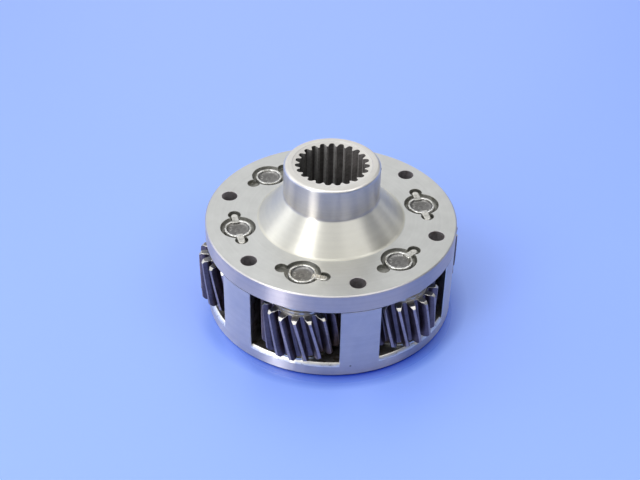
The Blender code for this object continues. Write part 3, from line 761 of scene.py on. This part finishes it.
for i in range(1, PLANETS + 1):
    turn = planet_degrees(i)
    gear_piece = gear(
        f"helical_planet_{i}",
        PLANET_TEETH,
        -1,
        [(13.95, TEETH_Z1, 3), (13.8, TEETH_Z1 + 0.12, 3), (13.8, 35.25, 2), (13.55, 35.5, 3), (9.75, 35.5, 2), (9.3, 35.05, 2)],
        [(14.0, TEETH_Z0, 3), (9.75, TEETH_Z0, 3), (9.3, TEETH_Z0 + 0.45, 2)],
        0,
        1.15,
        GEAR_LOOK,
    )
    spun(gear_piece, planet_phase(turn))
    at_axis(gear_piece, i)
    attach(gear_piece, f"planet_{i}")
    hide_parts(f"planet_gear_{i}")

    # needle rollers in their cage
    rollers = []
    for k in range(16):
        roller = turned_solid(
            f"roller_{i}_{k}",
            [(0, 10.9, 0), (0.9, 10.9, 0), (1.15, 11.15, 0), (1.15, 34.05, 0), (0.9, 34.3, 0), (0, 34.3, 0)],
            12,
            [ROLLER],
            weighted=False,
        )
        px, py = polar(7.92, 22.5 * k)
        roller.location = (px * MM, py * MM, 0)
        rollers.append(roller)
    ends = [
        lathe(f"cage_low_{i}", ring_profile(7.0, 8.9, 10.1, 10.8, 0.12), 48, [NEEDLE_CAGE], weighted=False),
        lathe(f"cage_high_{i}", ring_profile(7.0, 8.9, 34.4, 35.1, 0.12), 48, [NEEDLE_CAGE], weighted=False),
    ]
    for k in range(16):
        at = polar(7.92, 22.5 * k + 11.25)
        a = math.radians(22.5 * k + 11.25)
        bar = [
            (at[0] + u * math.cos(a) - w * math.sin(a), at[1] + u * math.sin(a) + w * math.cos(a))
            for u, w in ((-0.75, -0.26), (0.75, -0.32), (0.75, 0.32), (-0.75, 0.26))
        ]
        ends.append(stacked(f"bar_{i}_{k}", [(bar, 10.82), (bar, 34.38)], [NEEDLE_CAGE]))
    needles = joined(f"needle_bearing_{i}", rollers + ends)
    needles.data.shade_smooth()
    needles.data.set_sharp_from_angle(angle=math.radians(32))
    at_axis(needles, i)
    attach(needles, f"needles_{i}")
    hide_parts(f"needle_roller_cage_{i}")

    for key, body, outer, z0, look, slot in (
        ("upper_steel_washer", "carrier", 14.2, 36.9, WASHER, "washer_steel"),
        ("upper_bronze_washer", f"planet_{i}", 13.6, 35.6, BRONZE, "bronze"),
        ("lower_bronze_washer", f"planet_{i}", 13.6, 8.4, BRONZE, "bronze"),
        ("lower_steel_washer", "carrier", 14.2, 7.1, WASHER, "washer_steel"),
    ):
        piece = lathe(f"{key}_piece_{i}", ring_profile(6.8, outer, z0, z0 + 1.2), 96, [look])
        at_axis(piece, i)
        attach(piece, body)
        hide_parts(f"{key}_{i}")

    # planet pin with its dished, staked end
    pin = turned_solid(
        f"pin_{i}",
        [
            (0, 0.4, 0),
            (5.2, 0.4, 0),
            (5.5, 0.5, 0),
            (6.35, 0.65, 1),
            (6.5, 0.9, 1),
            (6.5, 46.75, 2),
            (6.45, 47.12, 2),
            (6.28, 47.33, 2),
            (6.0, 47.4, 2),
            (5.62, 47.36, 2),
            (5.4, 47.2, 0),
            (5.22, 46.85, 0),
            (4.95, 46.4, 0),
            (4.5, 46.1, 0),
            (3.9, 45.98, 0),
            (2.0, 45.9, 0),
            (0, 45.88, 0),
        ],
        64,
        [PIN_DISH, PIN_BODY, PIN_RIM],
    )
    for s in LUGS[i]:
        outline = [(-1.75, s * 4.6), (-1.75, s * NOTCH_OFFSET)]
        for k in range(1, 12):
            px, py = polar(1.75, 180 - 180.0 * k / 12)
            outline.append((px, s * (NOTCH_OFFSET + py)))
        outline += [(1.75, s * NOTCH_OFFSET), (1.75, s * 4.6)]
        middle = (0.0, s * 8.0)

        def drawn_in(amount):
            out = []
            for px, py in outline:
                if abs(py) < 5:
                    out.append((px * (1 - amount * 0.5), py))
                else:
                    out.append((px * (1 - amount * 0.55), middle[1] + (py - middle[1]) * (1 - amount * 0.25)))
            return out

        lug = stacked(
            f"lug_{i}_{s + 1}",
            [(drawn_in(0), SINK_Z + 0.35), (drawn_in(0), 46.75), (drawn_in(0.12), 47.02), (drawn_in(0.34), 47.2), (drawn_in(0.7), 47.28)],
            [STAKED],
            cutter=True,
        )
        boolean(pin, lug, "UNION")
    if LUGS[i]:
        settled(pin)
    spun(pin, turn)
    at_axis(pin, i)
    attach(pin, "carrier")
    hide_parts(f"planet_pin_{i}")

# ------------------------------------------------------------------ sun gear
sun = gear(
    "helical_sun",
    SUN_TEETH,
    1,
    [(25.2, TEETH_Z1, 3), (25.0, TEETH_Z1 + 0.15, 3), (25.0, 34.75, 2), (24.75, 35.0, 3), (14.4, 35.0, 2), (13.6, 34.2, 2)],
    [(22.2, TEETH_Z0, 3), (22.0, TEETH_Z0 - 0.15, 3), (22.0, 6.6, 2), (21.7, 6.3, 3), (14.4, 6.3, 2), (13.6, 7.1, 2)],
    3,
    1.0,
    GEAR_LOOK,
    layers=12,
)
teeth = []
for k in range(20):
    a = 18.0 * k + 9.0
    section = []
    for r, d in ((13.75, -4.6), (13.4, -4.3), (12.7, -2.9), (12.1, -1.75), (12.0, -1.4), (12.0, 1.4), (12.1, 1.75), (12.7, 2.9), (13.4, 4.3), (13.75, 4.6)):
        section.append(polar(r, a + d))
    low = [polar(13.75 if n in (0, 9) else max(math.hypot(*p), 13.2), math.degrees(math.atan2(p[1], p[0]))) for n, p in enumerate(section)]
    teeth.append(stacked(f"sun_tooth_{k}", [(low, 6.95), (section, 7.9), (section, 33.4), (low, 34.35)], [SPLINE], cutter=True))
whole = joined("sun_spline", teeth)
whole.hide_render = True
boolean(sun, whole, "UNION")
settled(sun, 30.0)
spun(sun, MESH_ANGLE)
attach(sun, "sun")
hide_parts("sun_gear")

# ------------------------------------------------------------------ thrust bearing, retainer plate and snap ring
race = lathe("sun_thrust_race", ring_profile(18.0, 28.0, 37.3, 38.1, 0.15), 128, [WASHER])
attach(race, "carrier")
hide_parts("thrust_race")

pieces = [
    lathe("tn_in", ring_profile(18.5, 19.6, 35.5, 36.8, 0.15), 96, [NEEDLE_CAGE], weighted=False),
    lathe("tn_out", ring_profile(26.4, 27.5, 35.5, 36.8, 0.15), 96, [NEEDLE_CAGE], weighted=False),
]
for k in range(24):
    a = math.radians(15.0 * k)
    roller = turned_solid(
        f"tr_{k}",
        [(0, -3.3, 0), (0.8, -3.3, 0), (1.0, -3.1, 0), (1.0, 3.1, 0), (0.8, 3.3, 0), (0, 3.3, 0)],
        16,
        [ROLLER],
        weighted=False,
    )
    roller.matrix_basis = (
        Matrix.Translation((23.0 * MM * math.cos(a), 23.0 * MM * math.sin(a), 36.15 * MM))
        @ Matrix.Rotation(a, 4, "Z")
        @ Matrix.Rotation(math.pi / 2, 4, "Y")
    )
    pieces.append(roller)
    b = a + math.radians(7.5)
    bar = []
    for u, w in ((19.55, -0.7), (26.45, -1.2), (26.45, 1.2), (19.55, 0.7)):
        bar.append((u * math.cos(b) - w * math.sin(b), u * math.sin(b) + w * math.cos(b)))
    pieces.append(stacked(f"tb_{k}", [(bar, 35.62), (bar, 36.68)], [NEEDLE_CAGE]))
thrust = joined("sun_thrust_needles", pieces)
thrust.data.shade_smooth()
thrust.data.set_sharp_from_angle(angle=math.radians(32))
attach(thrust, "thrust_needles")
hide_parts("thrust_needle_cage")

plate = lathe("retainer_plate", ring_profile(16.0, 31.6, 3.7, 6.1, 0.35), 160, [PLATE])
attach(plate, "carrier")
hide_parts("sun_retainer_plate")

ring_piece = lathe("snap_ring_piece", ring_profile(30.2, 33.2, 2.0, 3.5, 0.2), 120, [RING], 277.0, 623.0)
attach(ring_piece, "carrier")
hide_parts("snap_ring")

# ------------------------------------------------------------------ floor, light and camera
floor_mat, floor_tree, floor_shader = nodes_of("floor_paint")
floor_shader.inputs["Base Color"].default_value = (0.25, 0.40, 1.0, 1)
floor_shader.inputs["Roughness"].default_value = 0.42
floor_shader.inputs["Specular IOR Level"].default_value = 1.0
floor_at = floor_tree.nodes.new("ShaderNodeTexCoord").outputs["Object"]
floor_reach = floor_tree.nodes.new("ShaderNodeVectorMath")
floor_reach.operation = "LENGTH"
floor_tree.links.new(floor_at, floor_reach.inputs[0])
# painted contact shadow: the floor's paint darkens near the foot, deepest on the side away from the key light
away = floor_tree.nodes.new("ShaderNodeVectorMath")
away.operation = "DOT_PRODUCT"
floor_tree.links.new(floor_at, away.inputs[0])
away.inputs[1].default_value = (math.sin(math.radians(6.3)) / 0.062, -math.cos(math.radians(6.3)) / 0.062, 0.0)
depth = ramp(floor_tree, away.outputs["Value"], -0.3, 1.0, 0.0, 1.0)
near_foot = ramp(floor_tree, floor_reach.outputs["Value"], 0.0598, 0.0695, 0.0, 1.0)
near_foot = math_node(floor_tree, "POWER", near_foot, 1.1)
near_foot = math_node(floor_tree, "SUBTRACT", 1.0, math_node(floor_tree, "MULTIPLY", depth, math_node(floor_tree, "SUBTRACT", 1.0, near_foot)))
floor_colour = floor_tree.nodes.new("ShaderNodeCombineColor")
floor_tree.links.new(ramp(floor_tree, near_foot, 0.0, 1.0, 0.004, 0.25), floor_colour.inputs[0])
floor_tree.links.new(ramp(floor_tree, math_node(floor_tree, "POWER", near_foot, 0.78), 0.0, 1.0, 0.008, 0.40), floor_colour.inputs[1])
floor_tree.links.new(ramp(floor_tree, math_node(floor_tree, "POWER", near_foot, 0.42), 0.0, 1.0, 0.16, 1.0), floor_colour.inputs[2])
floor_tree.links.new(floor_colour.outputs[0], floor_shader.inputs["Base Color"])
floor_tree.links.new(ramp(floor_tree, near_foot, 0.0, 1.0, 0.14, 0.42), floor_shader.inputs["Roughness"])
bpy.ops.mesh.primitive_plane_add(size=60.0, location=(0, 0, -0.00015))
floor = bpy.context.object
floor.name = "floor"
floor.data.materials.append(floor_mat)

world = bpy.data.worlds.new("studio")
bpy.context.scene.world = world
world.use_nodes = True
tree = world.node_tree
background = tree.nodes["Background"]
direction = tree.nodes.new("ShaderNodeTexCoord").outputs["Generated"]
split = tree.nodes.new("ShaderNodeSeparateXYZ")
tree.links.new(direction, split.inputs[0])
height = tree.nodes.new("ShaderNodeMapRange")
height.inputs["From Min"].default_value = 0.0
height.inputs["From Max"].default_value = 0.22
tree.links.new(split.outputs[2], height.inputs["Value"])
blend = tree.nodes.new("ShaderNodeMix")
blend.data_type = "RGBA"
sockets = {s.identifier: s for s in blend.inputs}
sockets["A_Color"].default_value = (0.30, 0.42, 0.86, 1)
sockets["B_Color"].default_value = (0.80, 0.80, 0.80, 1)
tree.links.new(height.outputs["Result"], sockets["Factor_Float"])
tree.links.new([s for s in blend.outputs if s.identifier == "Result_Color"][0], background.inputs["Color"])
# the studio is lighter on the camera's left than on its right
leftward = tree.nodes.new("ShaderNodeVectorMath")
leftward.operation = "DOT_PRODUCT"
tree.links.new(direction, leftward.inputs[0])
leftward.inputs[1].default_value = (-math.cos(math.radians(13.74)), math.sin(math.radians(13.74)), 0.0)
side_light = tree.nodes.new("ShaderNodeMapRange")
side_light.inputs["From Min"].default_value = -1.0
side_light.inputs["From Max"].default_value = 1.0
side_light.inputs["To Min"].default_value = 0.13
side_light.inputs["To Max"].default_value = 1.55
tree.links.new(leftward.outputs["Value"], side_light.inputs["Value"])
# and darker behind the camera than behind the part
forward = tree.nodes.new("ShaderNodeVectorMath")
forward.operation = "DOT_PRODUCT"
tree.links.new(direction, forward.inputs[0])
forward.inputs[1].default_value = (-math.sin(math.radians(13.74)), -math.cos(math.radians(13.74)), 0.0)
dimmed = ramp(tree, forward.outputs["Value"], 0.10, 0.80, 1.0, 0.36)
tree.links.new(math_node(tree, "MULTIPLY", side_light.outputs["Result"], dimmed), background.inputs["Strength"])


def soft_light(name, azimuth, elevation, distance, size, power, colour=(1, 1, 1), size_y=None):
    """A rectangular soft light. Azimuth 0 is on the camera's side, and grows to the camera's right."""
    data = bpy.data.lights.new(name, "AREA")
    data.shape = "RECTANGLE"
    data.size = size
    data.size_y = size_y or size
    data.energy = power
    data.color = colour
    obj = bpy.data.objects.new(name, data)
    bpy.context.scene.collection.objects.link(obj)
    a = math.radians(azimuth - 13.74)
    e = math.radians(elevation)
    back = Vector((math.sin(a) * math.cos(e), -math.cos(a) * math.cos(e), math.sin(e)))
    obj.location = Vector((0, 0, 0.04)) + back * distance
    obj.rotation_mode = "QUATERNION"
    obj.rotation_quaternion = (-back).to_track_quat("-Z", "Y")
    return obj


soft_light("key", -42, 31, 1.3, 0.36, 7.0, (1.0, 0.99, 0.97), 1.45)
soft_light("left_back", -101, 25, 1.3, 0.42, 1.19, (1.0, 0.995, 0.98), 1.15)
soft_light("left_high", -62, 50, 1.3, 0.4, 1.14, (1.0, 0.99, 0.98), 0.6)
soft_light("left_far", -130, 45, 1.3, 0.6, 0.5, (1.0, 0.99, 0.98))
soft_light("front", -8, 68, 1.3, 0.7, 2.89, (1.0, 0.99, 0.97))
soft_light("right", 49, 51, 1.3, 0.85, 3.19, (1.0, 0.99, 0.98), 0.55)
soft_light("right_back", 112, 30, 1.3, 0.40, 0.58, (1.0, 0.99, 0.98), 0.4)
soft_light("right_low", 128, 14, 1.3, 0.35, 0.34, (1.0, 0.99, 0.98), 0.4)
soft_light("right_high", 104, 56, 1.3, 1.0, 1.43, (1.0, 0.99, 0.98), 0.5)
soft_light("back_low", 180, 20, 1.3, 0.8, 0.54, (1.0, 0.99, 0.98), 0.35)
soft_light("overhead", 184, 55, 1.3, 0.95, 0.87, (1.0, 0.995, 0.98), 1.3)

elevation, roll, turned = math.radians(37.66), math.radians(1.119), math.radians(-13.73976)
back = Vector((0, -math.cos(elevation), math.sin(elevation)))
right = Vector((1, 0, 0))
up = back.cross(right)
tilted_right = right * math.cos(roll) + up * math.sin(roll)
tilted_up = -right * math.sin(roll) + up * math.cos(roll)
frame_turn = Matrix.Rotation(turned, 3, "Z")
place = frame_turn @ Vector((-5.04069, -467.49261, 345.91411)) + Vector((0, 0, 47.8))
columns = [frame_turn @ v for v in (tilted_right, tilted_up, back)]
camera_data = bpy.data.cameras.new("camera")
camera_data.sensor_width = 36.0
camera_data.lens = 68.525
camera_data.clip_start = 0.01
camera_data.clip_end = 50
camera = bpy.data.objects.new("camera", camera_data)
bpy.context.scene.collection.objects.link(camera)
pose = Matrix([columns[0], columns[1], columns[2]]).transposed().to_4x4()
pose.translation = place * MM
camera.matrix_world = pose
bpy.context.scene.camera = camera
bpy.context.scene.view_settings.view_transform = "Standard"
bpy.context.scene.view_settings.look = "None"
